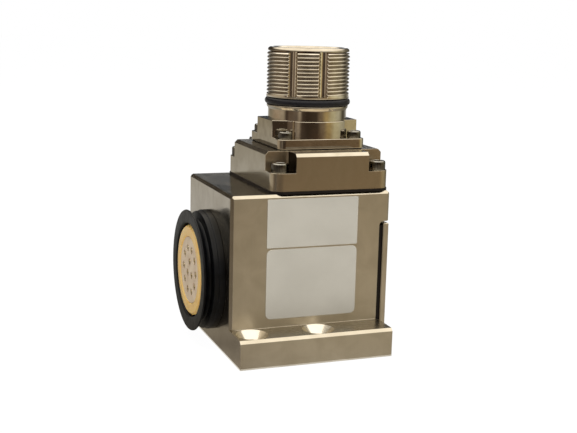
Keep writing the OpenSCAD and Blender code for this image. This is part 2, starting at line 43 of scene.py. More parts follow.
flatTurn = math.radians(0.6)    # faces that turn less than this are one flat face


def linear(hexColour, alpha=1.0):
    channels = [int(hexColour[i:i + 2], 16) / 255 for i in (1, 3, 5)]
    return tuple(c / 12.92 if c <= 0.04045 else ((c + 0.055) / 1.055) ** 2.4 for c in channels) + (alpha,)


def setNode(tree, node, settings=(), links=()):
    # a key that names or numbers a socket sets that socket, any other key sets the node
    for key, value in dict(settings).items():
        if isinstance(key, int) or key in node.inputs:
            node.inputs[key].default_value = value
        else:
            setattr(node, key, value)
    for key, source in dict(links).items():
        tree.links.new(source, node.inputs[key])
    return node


def addNode(tree, kind, settings=(), links=()):
    return setNode(tree, tree.nodes.new(kind), settings, links)


def perMm(size):
    # texture scale for a pattern whose features are this many millimetres across
    return 1000 / size


def startMaterial(name):
    material = bpy.data.materials.new(name)
    material.use_nodes = True
    tree = material.node_tree
    shader = tree.nodes["Principled BSDF"]
    place = addNode(tree, "ShaderNodeTexCoord").outputs["Object"]
    return material, tree, shader, place


def spread(low, high, fromLow=0.35, fromHigh=0.65):
    # what a Map Range node is set to, so that a noise runs from low to high
    return {"From Min": fromLow, "From Max": fromHigh, "To Min": low, "To Max": high}


# Nickel-plated aluminium, milled and then satin plated: warm grey, soft reflections, faint
# tool lines and a few hand marks
nickelFinish = dict(colour="#D4CCBC", tarnish="#C3BAA8", lineWidth=0.3, lineLength=16.0, lineBump=0.01,
                    lineGloss=0.03, markSize=7.0)


def platedNickel(name, roughness, lineAxis, lineDepth, markDepth=0.06, shades=None):
    material, tree, shader, place = startMaterial(name)
    tarnish, colour = shades or (nickelFinish["tarnish"], nickelFinish["colour"])
    stretch = [perMm(nickelFinish["lineWidth"])] * 3
    stretch[lineAxis] = perMm(nickelFinish["lineLength"])
    along = addNode(tree, "ShaderNodeMapping", {"Scale": stretch}, {"Vector": place})
    lines = addNode(tree, "ShaderNodeTexNoise", {"Scale": 1.0, "Detail": 3.0, "Roughness": 0.6},
                    {"Vector": along.outputs[0]})
    marks = addNode(tree, "ShaderNodeTexNoise",
                    {"Scale": perMm(nickelFinish["markSize"]), "Detail": 5.0, "Distortion": 0.6},
                    {"Vector": place})
    patch = addNode(tree, "ShaderNodeMapRange", spread(0.25, 1.0), {"Value": marks.outputs["Fac"]})
    shade = addNode(tree, "ShaderNodeMix",
                    {"data_type": "RGBA", 6: linear(tarnish), 7: linear(colour)}, {0: patch.outputs[0]})
    gloss = addNode(tree, "ShaderNodeMapRange",
                    spread(roughness - nickelFinish["lineGloss"], roughness + nickelFinish["lineGloss"]),
                    {"Value": lines.outputs["Fac"]})
    touched = addNode(tree, "ShaderNodeMapRange", spread(markDepth, 0.0), {"Value": marks.outputs["Fac"]})
    rough = addNode(tree, "ShaderNodeMath", {"operation": "ADD"},
                    {0: gloss.outputs[0], 1: touched.outputs[0]})
    bump = addNode(tree, "ShaderNodeBump",
                   {"Strength": lineDepth, "Distance": nickelFinish["lineBump"] * mm},
                   {"Height": lines.outputs["Fac"]})
    setNode(tree, shader, {"Metallic": 1.0},
            {"Base Color": shade.outputs[2], "Roughness": rough.outputs[0], "Normal": bump.outputs[0]})
    return material


# milled before plating: a broad soft sheen
satinNickel = platedNickel("satinNickelMilled", roughness=0.44, lineAxis=2, lineDepth=0.07)
# ground before plating: sharper and brighter
brightNickel = platedNickel("brightNickelGround", roughness=0.15, lineAxis=1, lineDepth=0.1)
# the countersinks, cut last: bright, with tool lines
cutNickel = platedNickel("nickelFreshlyCut", roughness=0.12, lineAxis=2, lineDepth=1.0, markDepth=0.02,
                         shades=("#DDD5C6", "#EFE8DA"))
# the adapter's own batch: a yellower plate
warmNickel = platedNickel("satinNickelWarm", roughness=0.34, lineAxis=2, lineDepth=0.07,
                          shades=("#AE9F87", "#BDAE97"))
# the ledge's top: darker, and shinier than the block
ledgeNickel = platedNickel("darkerNickelLedge", roughness=0.24, lineAxis=0, lineDepth=0.1,
                           shades=("#A59C8B", "#B3AB9A"))
# pocket walls and the cover's inner face: painted shade, a nearly black plate
shadedNickel = platedNickel("paintedShadeNickelPocket", roughness=0.3, lineAxis=2, lineDepth=0.05,
                          shades=("#2B241D", "#3A3229"))


# Nickel-plated brass, turned or die cast and polished: almost a mirror, with a slight orange peel.
# The thread's roots get painted shade: a brown tone, as deep as the mesh's own shade attribute says.
shellFinish = dict(polished=("#BDB3A2", "#D6CDBD"), turned=("#D2C9B8", "#EEE6D8"), shadeTone="#5A4530",
                   markSize=2.5, markGloss=0.06, peelBump=0.03)


def castNickel(name, roughness, peelSize, peelDepth, shaded=False):
    material, tree, shader, place = startMaterial(name)
    peel = addNode(tree, "ShaderNodeTexNoise", {"Scale": perMm(peelSize), "Detail": 2.0},
                   {"Vector": place})
    marks = addNode(tree, "ShaderNodeTexNoise", {"Scale": perMm(shellFinish["markSize"]), "Detail": 4.0},
                    {"Vector": place})
    dull, clean = shellFinish["turned" if shaded else "polished"]
    patch = addNode(tree, "ShaderNodeMapRange", spread(0.2, 1.0), {"Value": marks.outputs["Fac"]})
    shade = addNode(tree, "ShaderNodeMix",
                    {"data_type": "RGBA", 6: linear(dull), 7: linear(clean)}, {0: patch.outputs[0]})
    # painted shade: a brown tone laid into the thread's roots, as deep as the mesh's attribute says
    if shaded:
        shadeAmount = addNode(tree, "ShaderNodeAttribute", {"attribute_name": "paintedShade"})
        cover = addNode(tree, "ShaderNodeMapRange", spread(0.0, 1.0, 0.2, 1.3),
                        {"Value": shadeAmount.outputs["Fac"]})
        shade = addNode(tree, "ShaderNodeMix", {"data_type": "RGBA", 7: linear(shellFinish["shadeTone"])},
                        {0: cover.outputs[0], 6: shade.outputs[2]})
    rough = addNode(tree, "ShaderNodeMapRange", spread(roughness + shellFinish["markGloss"], roughness),
                    {"Value": marks.outputs["Fac"]})
    bump = addNode(tree, "ShaderNodeBump",
                   {"Strength": peelDepth, "Distance": shellFinish["peelBump"] * mm},
                   {"Height": peel.outputs["Fac"]})
    setNode(tree, shader, {"Metallic": 1.0},
            {"Base Color": shade.outputs[2], "Roughness": rough.outputs[0], "Normal": bump.outputs[0]})
    return material


shellNickel = castNickel("polishedNickelOnBrass", roughness=0.04, peelSize=1.6, peelDepth=0.25)
threadNickel = castNickel("turnedNickelThread", roughness=0.08, peelSize=0.5, peelDepth=0.05, shaded=True)


# Stainless steel, cold headed and tumbled: cooler and greyer than the nickel, with painted shade in the
# knurl's valleys and the socket
steelFinish = dict(dull="#8F8D87", clean="#ACAAA4", shadeTone="#2B2722", grainSize=0.35, gloss=(0.09, 0.14))


def screwFinish(look):
    material, tree, shader, place = startMaterial("tumbledStainlessSteel")
    grain = addNode(tree, "ShaderNodeTexNoise", {"Scale": perMm(look["grainSize"]), "Detail": 3.0},
                    {"Vector": place})
    patch = addNode(tree, "ShaderNodeMapRange", spread(0.0, 1.0), {"Value": grain.outputs["Fac"]})
    shade = addNode(tree, "ShaderNodeMix",
                    {"data_type": "RGBA", 6: linear(look["dull"]), 7: linear(look["clean"])},
                    {0: patch.outputs[0]})
    # painted shade, from the mesh's attribute: in the knurl's valleys, over the knurled band and in the
    # socket
    shadeAmount = addNode(tree, "ShaderNodeAttribute", {"attribute_name": "paintedShade"})
    shaded = addNode(tree, "ShaderNodeMix", {"data_type": "RGBA", 7: linear(look["shadeTone"])},
                    {0: shadeAmount.outputs["Fac"], 6: shade.outputs[2]})
    rough = addNode(tree, "ShaderNodeMapRange", spread(*look["gloss"]), {"Value": grain.outputs["Fac"]})
    bump = addNode(tree, "ShaderNodeBump", {"Strength": 0.1, "Distance": 0.01 * mm},
                   {"Height": grain.outputs["Fac"]})
    setNode(tree, shader, {"Metallic": 1.0},
            {"Base Color": shaded.outputs[2], "Roughness": rough.outputs[0], "Normal": bump.outputs[0]})
    return material


screwSteel = screwFinish(steelFinish)


# Nitrile rubber, compression moulded: near black, dull, with a grey bloom where it was handled
rubberFinish = dict(dustSize=2.2, poreSize=0.3, poreBump=0.03, ior=1.48, shine=0.25)


def mouldedRubber(name, dark, bloom, roughness):
    material, tree, shader, place = startMaterial(name)
    dust = addNode(tree, "ShaderNodeTexNoise",
                   {"Scale": perMm(rubberFinish["dustSize"]), "Detail": 6.0, "Roughness": 0.65},
                   {"Vector": place})
    pores = addNode(tree, "ShaderNodeTexNoise", {"Scale": perMm(rubberFinish["poreSize"]), "Detail": 2.0},
                    {"Vector": place})
    patch = addNode(tree, "ShaderNodeMapRange", spread(0.0, 1.0, 0.4, 0.75),
                    {"Value": dust.outputs["Fac"]})
    shade = addNode(tree, "ShaderNodeMix",
                    {"data_type": "RGBA", 6: linear(dark), 7: linear(bloom)}, {0: patch.outputs[0]})
    rough = addNode(tree, "ShaderNodeMapRange", spread(roughness - 0.06, roughness + 0.08),
                    {"Value": dust.outputs["Fac"]})
    bump = addNode(tree, "ShaderNodeBump", {"Strength": 0.4, "Distance": rubberFinish["poreBump"] * mm},
                   {"Height": pores.outputs["Fac"]})
    setNode(tree, shader, {"IOR": rubberFinish["ior"], "Specular IOR Level": rubberFinish["shine"]},
            {"Base Color": shade.outputs[2], "Roughness": rough.outputs[0], "Normal": bump.outputs[0]})
    return material


sealRubber = mouldedRubber("mouldedNitrileRubber", dark="#060709", bloom="#101216", roughness=0.36)
# cut from sheet: matt, and a little brown
gasketRubber = mouldedRubber("cutGasketRubber", dark="#120D0B", bloom="#1B1512", roughness=0.5)
# moulded cord, oiled when it was fitted: a little sheen
ringRubber = mouldedRubber("ringCordRubber", dark="#151519", bloom="#202025", roughness=0.34)


# Polyetherimide, turned from amber bar: warm and slightly see-through, with a fine grit from the tool
amberFinish = dict(low="#D6AE62", high="#E0BC72", cloudSize=3.0, gritSize=0.25, gloss=(0.16, 0.26),
                   ior=1.66, depth=0.6, share=0.15, spreads=(1.2, 0.6, 0.2))


def turnedAmber(look):
    material, tree, shader, place = startMaterial("turnedAmberPolyetherimide")
    cloud = addNode(tree, "ShaderNodeTexNoise", {"Scale": perMm(look["cloudSize"]), "Detail": 3.0},
                    {"Vector": place})
    patch = addNode(tree, "ShaderNodeMapRange", spread(0.0, 1.0), {"Value": cloud.outputs["Fac"]})
    shade = addNode(tree, "ShaderNodeMix",
                    {"data_type": "RGBA", 6: linear(look["low"]), 7: linear(look["high"])},
                    {0: patch.outputs[0]})
    grit = addNode(tree, "ShaderNodeTexNoise", {"Scale": perMm(look["gritSize"]), "Detail": 2.0},
                   {"Vector": place})
    rough = addNode(tree, "ShaderNodeMapRange", spread(*look["gloss"]), {"Value": grit.outputs["Fac"]})
    bump = addNode(tree, "ShaderNodeBump", {"Strength": 0.08, "Distance": 0.01 * mm},
                   {"Height": grit.outputs["Fac"]})
    setNode(tree, shader,
            {"IOR": look["ior"], "Subsurface Weight": look["share"], "Subsurface Radius": look["spreads"],
             "Subsurface Scale": look["depth"] * mm},
            {"Base Color": shade.outputs[2], "Roughness": rough.outputs[0], "Normal": bump.outputs[0]})
    return material


amberPolymer = turnedAmber(amberFinish)


# Moulded insulators, polyester label film, extruded wire cover and gold plate: even finishes that
# differ in colour, gloss and grain
def evenFinish(name, low, high, roughness, patchSize, grainSize, grainDepth, ior=1.5, metallic=0.0):
    material, tree, shader, place = startMaterial(name)
    cloud = addNode(tree, "ShaderNodeTexNoise", {"Scale": perMm(patchSize), "Detail": 3.0},
                    {"Vector": place})
    grain = addNode(tree, "ShaderNodeTexNoise", {"Scale": perMm(grainSize), "Detail": 2.0},
                    {"Vector": place})
    patch = addNode(tree, "ShaderNodeMapRange", spread(0.0, 1.0), {"Value": cloud.outputs["Fac"]})
    shade = addNode(tree, "ShaderNodeMix",
                    {"data_type": "RGBA", 6: linear(low), 7: linear(high)}, {0: patch.outputs[0]})
    rough = addNode(tree, "ShaderNodeMapRange", spread(roughness - 0.04, roughness + 0.04),
                    {"Value": grain.outputs["Fac"]})
    bump = addNode(tree, "ShaderNodeBump", {"Strength": grainDepth, "Distance": 0.02 * mm},
                   {"Height": grain.outputs["Fac"]})
    setNode(tree, shader, {"IOR": ior, "Metallic": metallic},
            {"Base Color": shade.outputs[2], "Roughness": rough.outputs[0], "Normal": bump.outputs[0]})
    return material


# glass-filled resin, moulded: chalky and even
paleInsulator = evenFinish("mouldedPaleInsulator", "#BDA88E", "#CDBBA2", roughness=0.42, patchSize=4.0,
                           grainSize=0.3, grainDepth=0.25)
darkInsulator = evenFinish("mouldedDarkInsulator", "#262625", "#323230", roughness=0.45, patchSize=4.0,
                           grainSize=0.3, grainDepth=0.25)
# polyester film: smooth, with a satin gloss
labelFilm = evenFinish("satinPolyesterFilm", "#B4B1A7", "#BAB7AD", roughness=0.34, patchSize=9.0,
                       grainSize=0.5, grainDepth=0.08, ior=1.6)
# fluoropolymer, extruded over the strands: a waxy gloss
wireCover = evenFinish("extrudedWireCover", "#CFCABC", "#DAD6CA", roughness=0.32, patchSize=5.0,
                       grainSize=0.6, grainDepth=0.1)
# gold over nickel on turned brass: pale and warm
goldPlate = evenFinish("goldPlatedContact", "#D2BE93", "#E2D2AC", roughness=0.24, patchSize=1.2,
                       grainSize=0.3, grainDepth=0.1, metallic=1.0)
print("materials made")


def linked(name, data):
    # a new object of this name in the scene
    thing = bpy.data.objects.new(name, data)
    scene.collection.objects.link(thing)
    return thing


def joined(node):
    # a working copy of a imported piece, its split corners joined and its flat faces whole again
    shape = bmesh.new()
    shape.from_mesh(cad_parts[node].data)
    bmesh.ops.remove_doubles(shape, verts=shape.verts, dist=joinGap)
    bmesh.ops.dissolve_limit(shape, angle_limit=flatTurn, verts=shape.verts, edges=shape.edges)
    return shape


def settle(name, shape, materials):
    mesh = bpy.data.meshes.new(name)
    shape.to_mesh(mesh)
    shape.free()
    piece = linked(name, mesh)
    for material in materials:
        mesh.materials.append(material)
    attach(piece, "root")
    return piece


def smoothBelow(shape, limit):
    # shade smooth over every edge that turns less than the limit, in degrees
    for face in shape.faces:
        face.smooth = True
    for edge in shape.edges:
        if len(edge.link_faces) == 2:
            edge.smooth = edge.calc_face_angle(0) < math.radians(limit)


def markEdges(shape, limit=28):
    # outer corners are to be broken, inner corners stay crisp, and everything flatter is smooth
    smoothBelow(shape, limit)
    weight = (shape.edges.layers.float.get("bevel_weight_edge")
              or shape.edges.layers.float.new("bevel_weight_edge"))
    for edge in shape.edges:
        if len(edge.link_faces) == 2:
            edge[weight] = 1.0 if edge.calc_face_angle_signed(0) > math.radians(limit) else 0.0


def easeEdges(piece, width, segments=2):
    bevel = piece.modifiers.new("edgeBreak", "BEVEL")
    bevel.width = width * mm
    bevel.segments = segments
    bevel.limit_method = "WEIGHT"
    bevel.use_clamp_overlap = True
    bevel.miter_outer = "MITER_ARC"
    flat = piece.modifiers.new("flatFaces", "WEIGHTED_NORMAL")
    flat.mode = "FACE_AREA"
    flat.weight = 90
    flat.keep_sharp = True


def easedCopy(node, name, width, materials, pick=None, segments=2, fillet=None):
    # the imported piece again, with its edges broken as a deburred or moulded piece has them
    shape = joined(node)
    if fillet:
        fillet(shape)
    markEdges(shape)
    if pick:
        for face in shape.faces:
            face.material_index = pick(face)
    piece = settle(name, shape, materials)
    easeEdges(piece, width, segments)
    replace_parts(piece, node)


def skin(shape, grid, shut=False):
    # four-sided faces between each ring of corners and the next, and back to the first if shut
    pairs = list(zip(grid, grid[1:]))
    if shut:
        pairs.append((grid[-1], grid[0]))
    for low, high in pairs:
        for k in range(len(low)):
            after = (k + 1) % len(low)
            shape.faces.new((low[k], low[after], high[after], high[k]))


def turned(name, profile, materials, node, axisPoint, lying=False, columns=160, limit=35):
    # a lathe: profile holds (radius, distance along the axis) in mm, axisPoint is in mm
    shape = bmesh.new()
    rings = []
    for radius, along in profile:
        ring = []
        for k in range(columns):
            angle = 2 * math.pi * k / columns
            around = Vector((radius * math.cos(angle), radius * math.sin(angle), along))
            if lying:
                around = Vector((-around.z, around.x, around.y))
            ring.append(shape.verts.new((around + Vector(axisPoint)) * mm))
        rings.append(ring)
    skin(shape, rings, shut=True)
    bmesh.ops.recalc_face_normals(shape, faces=shape.faces)
    smoothBelow(shape, limit)
    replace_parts(settle(name, shape, materials), node)


def rounded(profile, radii, steps):
    # the closed profile again, with each corner turned into a short arc of its own radius
    out = []
    for i, corner in enumerate(profile):
        here = Vector(corner)
        back = Vector(profile[i - 1]) - here
        ahead = Vector(profile[(i + 1) % len(profile)]) - here
        reach = min(radii[i], back.length * 0.45, ahead.length * 0.45)
        first, last = here + back.normalized() * reach, here + ahead.normalized() * reach
        for s in range(steps + 1):
            t = s / steps
            out.append(tuple(first * (1 - t) ** 2 + here * 2 * t * (1 - t) + last * t ** 2))
    return out


# Housing and adapter: satin on the faces that were milled last, bright where they were ground
housingLook = dict(front=0.02025, ledgeTop=0.0077, ledgeEdge=-0.0292, holes=(-0.0177, 0.0008),
                   graze=0.0015, grazeWidth=0.0035, fillet=0.0001, slack=0.0005, facing=0.9, leaning=0.5,
                   ground=0.6, pocketWall=-0.01)
# How wide each piece's edges are broken, in mm
edgeBreak = dict(housing=0.18, adapter=0.12, cover=0.07, gasket=0.2, screws=0.05, insert=0.06,
                 contacts=0.04, labels=0.04, flange=0.22)
near = 1e-5    # metres, for telling whether a corner lies on a plane


def housingFinish(face):
    # 0 satin, 1 ground, 2 freshly cut in the countersinks, 3 darker on the ledge
    normal, middle = face.normal, face.calc_center_median()
    if normal.z > housingLook["facing"] and middle.z < housingLook["ledgeTop"] + housingLook["slack"]:
        return 3
    overLedge = housingLook["ledgeEdge"] < middle.y < -housingLook["front"]
    if overLedge and housingLook["leaning"] < normal.z < housingLook["facing"]:
        return 2
    return 1 if normal.x < -housingLook["ground"] or normal.z > housingLook["ground"] else 0


def adapterFinish(face):
    # the walls beside the screw heads get painted shade, the nearly black plate
    inPocket = face.calc_center_median().x > housingLook["pocketWall"]
    return 2 if face.normal.x < -housingLook["facing"] and inPocket else housingFinish(face)


def coverFinish(face):
    # the cover's inner face, down in the slot, gets painted shade too
    return 1 if face.normal.x < -housingLook["facing"] else 0


def ledgeFillet(shape):
    # the solids let the countersink cutters graze the front face: it is made level again, and
    # the milling cutter's small radius is put where the ledge meets it
    front, low, graze = -housingLook["front"], housingLook["ledgeTop"], housingLook["graze"]
    for corner in shape.verts:
        beside = any(abs(corner.co.x - hole) < housingLook["grazeWidth"] for hole in housingLook["holes"])
        if beside and front < corner.co.y < front + graze and low - near < corner.co.z < low + graze:
            corner.co.y = front
    bmesh.ops.remove_doubles(shape, verts=shape.verts, dist=joinGap)
    bmesh.ops.dissolve_degenerate(shape, edges=shape.edges, dist=joinGap)
    bmesh.ops.dissolve_limit(shape, angle_limit=flatTurn, verts=shape.verts, edges=shape.edges)
    inner = [e for e in shape.edges if len(e.link_faces) == 2 and e.calc_face_angle_signed(0) < -1.5
             and all(abs(v.co.y - front) < near and abs(v.co.z - low) < near for v in e.verts)]
    bmesh.ops.bevel(shape, geom=inner, offset=housingLook["fillet"], segments=4, profile=0.5,
                    affect="EDGES", clamp_overlap=True)


easedCopy("housing", "machinedHousing", edgeBreak["housing"],
          [satinNickel, brightNickel, cutNickel, ledgeNickel], housingFinish,
          fillet=ledgeFillet)
easedCopy("adapter_block", "machinedAdapter", edgeBreak["adapter"],
          [warmNickel, brightNickel, shadedNickel], adapterFinish)
easedCopy("cover_plate", "sideCover", edgeBreak["cover"], [satinNickel, shadedNickel],
          coverFinish)
easedCopy("adapter_gasket", "adapterGasket", edgeBreak["gasket"], [gasketRubber],
          segments=3)
easedCopy("cover_screws", "coverScrews", edgeBreak["screws"], [screwSteel])
easedCopy("contact_insert", "contactInsert", edgeBreak["insert"], [paleInsulator])
easedCopy("contact_pins", "blockContacts", edgeBreak["contacts"], [goldPlate])
easedCopy("upper_label", "upperLabel", edgeBreak["labels"], [labelFilm])
easedCopy("lower_label", "lowerLabel", edgeBreak["labels"], [labelFilm])
print("machined pieces eased")


# Cap screws: knurled heads with a rolled top edge and a hexagon socket, on the notch floors and
# on the flange
screwSize = dict(adapter=dict(head=2.25, height=2.5, socket=1.0, shank=1.22, length=10.0, knurl=0.09,
                              spacing=(14.0, 17.2), floor=48.85),
                 flange=dict(head=1.9, height=2.0, socket=0.75, shank=0.97, length=7.0, knurl=0.08,
                             spacing=(10.0, 10.0), floor=56.7))
# the last three: how deep the painted shade is in the knurl's valleys, on its ridges and in the socket
screwLook = dict(axisX=5.6, columns=96, knurlEvery=3, spin=17.0, valleyShade=0.95, ridgeShade=0.5, socket=0.9)


def capScrews(name, node, size, look):
    head, height, socket = size["head"], size["height"], size["socket"]
    rows = [(size["shank"], -size["length"], "round"), (size["shank"], -0.02, "round"),    # shank
            (head - 0.15, 0, "round"), (head, 0.15, "knurled"), (head, height - 0.42, "knurled"),
            (head - 0.04, height - 0.3, "round"), (head - 0.1, height - 0.14, "round"),    # rolled edge
            (head - 0.28, height - 0.02, "round"), (head - 0.4, height, "round"),
            (socket + 0.12, height, "hexagon"), (socket, height - 0.1, "hexagon"),
            (socket, height / 2, "hexagon"), (socket * 0.5, height / 2 - 0.1, "round")]
    shape = bmesh.new()
    paintedShade = shape.verts.layers.float.new("paintedShade")
    across, along = size["spacing"]
    places = [(look["axisX"] + across * i, along * j) for i in (-1, 1) for j in (-1, 1)]
    for number, (x, y) in enumerate(places):
        start = math.radians(look["spin"] * number)    # no two heads stand at the same turn
        grid = []
        for radius, up, kind in rows:
            ring = []
            for k in range(look["columns"]):
                turn = 2 * math.pi * k / look["columns"]
                r, shadeAmount = radius, 0.0
                # painted shade over the knurled band, deepest in its valleys, and in the socket
                if kind == "knurled":
                    shadeAmount = look["ridgeShade"]
                    if k % look["knurlEvery"] == 0:
                        r, shadeAmount = radius - size["knurl"], look["valleyShade"]
                elif kind == "hexagon":
                    r = radius / math.cos(turn % (math.pi / 3) - math.pi / 6)
                    shadeAmount = look["socket"] if up < height - 0.2 else 0.0
                place = (x + r * math.cos(turn + start), y + r * math.sin(turn + start),
                         size["floor"] + up)
                corner = shape.verts.new([mm * c for c in place])
                corner[paintedShade] = shadeAmount
                ring.append(corner)
            grid.append(ring)
        skin(shape, grid)
        shape.faces.new(grid[0][::-1])
        shape.faces.new(grid[-1])
    bmesh.ops.recalc_face_normals(shape, faces=shape.faces)
    smoothBelow(shape, limit=38)
    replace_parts(settle(name, shape, [screwSteel]), node)


capScrews("adapterScrews", "adapter_screws", screwSize["adapter"], screwLook)
capScrews("flangeScrews", "flange_screws", screwSize["flange"], screwLook)
print("cap screws made")


# Contact block: amber hub and lip seal, both turned about the axis that points out of the side
blockSize = dict(axis=(-22.5, 0, 19.7), hubRadius=12.5, hubOut=5.7, hubCorner=0.12, bevel=0.6,
                 insertRadius=9.2, insertStep=0.9, seat=6, boreEase=0.3,
                 flangeRadius=14.6, flangeDepth=1.6, shankRadius=10.6, shankEnd=11.0,
                 footRadius=16.5, footWidth=1.7, sealRadius=16.2, sealWidth=3.1, web=1.1,
                 lipRadius=16.7, lipGap=0.4, lipLead=0.2, lipRise=1.3, fitGap=0.03)


def amberHub(size):
    hub, out, bore, step = size["hubRadius"], size["hubOut"], size["insertRadius"], size["insertStep"]
    shank, flange, ease = size["shankRadius"], size["flangeRadius"], size["boreEase"]
    profile = [(bore - step, -size["seat"]), (bore, -size["seat"]), (bore, out - ease),
               (bore + ease, out), (hub - size["bevel"], out), (hub, out - size["bevel"]), (hub, 0),
               (flange, 0), (flange, -size["flangeDepth"]), (shank, -size["flangeDepth"]),
               (shank, -size["shankEnd"]), (bore - step, -size["shankEnd"])]
    turned("amberCarrier", rounded(profile, [size["hubCorner"]] * len(profile), steps=3), [amberPolymer],
           "contact_carrier", size["axis"], lying=True)


def lipSeal(size):
    base, inner = size["hubRadius"] + size["fitGap"], size["hubRadius"] + size["lipGap"]
    foot, body, lip = size["footRadius"], size["sealRadius"], size["lipRadius"]
    step, width, front = size["footWidth"], size["sealWidth"], size["hubOut"] + size["lipLead"]
    neck, rise = inner + size["web"], front - size["lipRise"]
    # each corner of the section: radius, distance out of the wall, and how far it is rounded
    corners = [(base, 0, 0.1), (foot, 0, 0.15), (foot, step - 0.1, 0.15), (body, step + 0.1, 0.15),
               (body, width - 0.2, 0.3), (body - 0.4, width, 0.3), (neck, width, 0.3),
               (neck, rise - 0.4, 0.5), (lip - 0.4, front - 0.6, 0.5), (lip, front - 0.4, 0.15),
               (lip - 0.1, front, 0.15),
               (inner + 0.4, front - 0.1, 0.3), (inner, front - 0.4, 0.3), (inner, width, 0.3),
               (base, width - 0.4, 0.2)]
    section = rounded([corner[:2] for corner in corners], [corner[2] for corner in corners], steps=4)
    turned("lipSeal", section, [sealRubber], "lip_seal", size["axis"], lying=True,
           columns=200, limit=60)


amberHub(blockSize)
lipSeal(blockSize)
print("contact block turned")


# Connector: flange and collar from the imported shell, everything above them turned, with a real thread
shellSize = dict(axisX=5.6, collarTop=61.3, neckRadius=10.9, grooveBottom=65.1, threadBottom=67.15,
                 threadStart=68.0, threadTop=79.45, runOut=0.35, relief=0.35, rimTop=80.8,
                 crest=11.5, root=11.05, pitch=1.0, rowsPerTurn=12,
                 lipRadius=11.35, lipHeight=0.9, grooveRadius=9.95, reliefRadius=10.75,
                 rimRadius=11.35, rimHeight=1.0, bore=9.2, boreBottom=68.8,
                 flutes=(-133, -90, 47, 90), fluteFloor=10.4, fluteCutter=1.441, fluteStart=67.8,
                 fluteWidth=7.6, ringInner=9.97, ringCord=0.95)
far = 99.0    # a radius in mm that nothing here reaches


def fluteWall(size, turn):
    # how far out a flute's wall lies, at this many degrees from the flute's middle
    centre = size["fluteFloor"] + size["fluteCutter"]
    across = centre * math.sin(math.radians(turn))
    if abs(turn) > 30 or abs(across) >= size["fluteCutter"]:
        return far
    return centre * math.cos(math.radians(turn)) - math.sqrt(size["fluteCutter"] ** 2 - across ** 2)


def noseColumns(size):
    # columns every 1.25 degrees, and closer where a flute cuts through the thread
    half = size["fluteWidth"]
    plain = [-180 + 1.25 * k for k in range(288)]
    columns = [a for a in plain if all(abs(a - middle) > half + 0.2 for middle in size["flutes"])]
    for middle in size["flutes"]:
        columns += [middle + half * step / 20 for step in range(-20, 21)]
    return sorted(columns)


def threadRadius(size, angle, height):
    # a rounded 60 degree thread that runs out into the collar below it and is chamfered at the top
    crest, root = size["crest"], size["root"]
    phase = (height - size["threadStart"]) / size["pitch"] - angle / 360
    radius = (crest + root) / 2 - (crest - root) / 2 * math.cos(2 * math.pi * phase)
    runOut = min(1.0, max(0.0, (height - size["threadStart"]) / size["runOut"]))
    radius = crest + (radius - crest) * runOut
    return min(radius, crest - 0.3 + 0.7 * (size["threadTop"] - height))


def noseRows(size):
    # from the collar up and over the rim into the bore: (radius, or None for the thread, height, fluted)
    neck, lip, groove, crest = size["neckRadius"], size["lipRadius"], size["grooveBottom"], size["crest"]
    collar, thread, top = size["collarTop"], size["threadBottom"], size["threadTop"]
    flare, middle = groove - size["lipHeight"], groove - size["lipHeight"] / 2
    plain = [(neck, collar - 0.02), (neck, collar + 0.3), (neck, flare - 0.32), (neck, flare - 0.25),
             (neck + 0.06, flare - 0.05), (lip - 0.08, middle - 0.05), (lip, middle + 0.1),
             (lip, groove - 0.08), (lip - 0.08, groove),
             (size["grooveRadius"], groove), (size["grooveRadius"], thread),
             (crest - 0.12, thread), (crest, thread + 0.12), (crest, size["fluteStart"] - 0.02)]
    rows = [(radius, height, False) for radius, height in plain]
    rows.append((crest, size["fluteStart"], True))
    start, length = size["threadStart"], top - size["threadStart"]
    count = round(length / size["pitch"] * size["rowsPerTurn"])
    rows += [(None, start + length * k / count, True) for k in range(count + 1)]
    rim, relief, bore = size["rimTop"], top + size["relief"], size["bore"]
    rows += [(size["reliefRadius"], height, True) for height in (top + 0.02, relief - 0.01)]
    rows.append((size["reliefRadius"], relief, False))
    quarter = [math.pi / 2 * k / 10 for k in range(11)]
    rows += [(size["rimRadius"] - size["rimHeight"] + size["rimHeight"] * math.cos(turn),
              relief + size["rimHeight"] * math.sin(turn), False) for turn in quarter]
    mouth = [(bore + 0.6, rim), (bore + 0.48, rim - 0.03), (bore + 0.03, rim - 0.47), (bore, rim - 0.55),
             (bore, size["boreBottom"])]
    return rows + [(radius, height, False) for radius, height in mouth]


def threadedNose(size):
    shape = bmesh.new()
    paintedShade = shape.verts.layers.float.new("paintedShade")
    columns = noseColumns(size)
    grid = []
    for radius, height, fluted in noseRows(size):
        ring = []
        for angle in columns:
            r = threadRadius(size, angle, height) if radius is None else radius
            wall = min(fluteWall(size, angle - middle) for middle in size["flutes"]) if fluted else far
            # painted shade: the deeper the thread's root, the darker it is painted, and none where a
            # flute cuts
            shadeAmount = (size["crest"] - r) / (size["crest"] - size["root"]) if fluted and r < wall else 0.0
            r, turn = min(r, wall), math.radians(angle)
            place = (size["axisX"] + r * math.cos(turn), r * math.sin(turn), height)
            corner = shape.verts.new([mm * c for c in place])
            corner[paintedShade] = shadeAmount
            ring.append(corner)
        grid.append(ring)
    skin(shape, grid)
    bmesh.ops.recalc_face_normals(shape, faces=shape.faces)
    low, high = size["threadBottom"] * mm, (size["threadTop"] + size["relief"]) * mm
    for face in shape.faces:
        face.material_index = 1 if low < face.calc_center_median().z < high else 0
    smoothBelow(shape, limit=58)
    return settle("threadedNose", shape, [shellNickel, threadNickel])


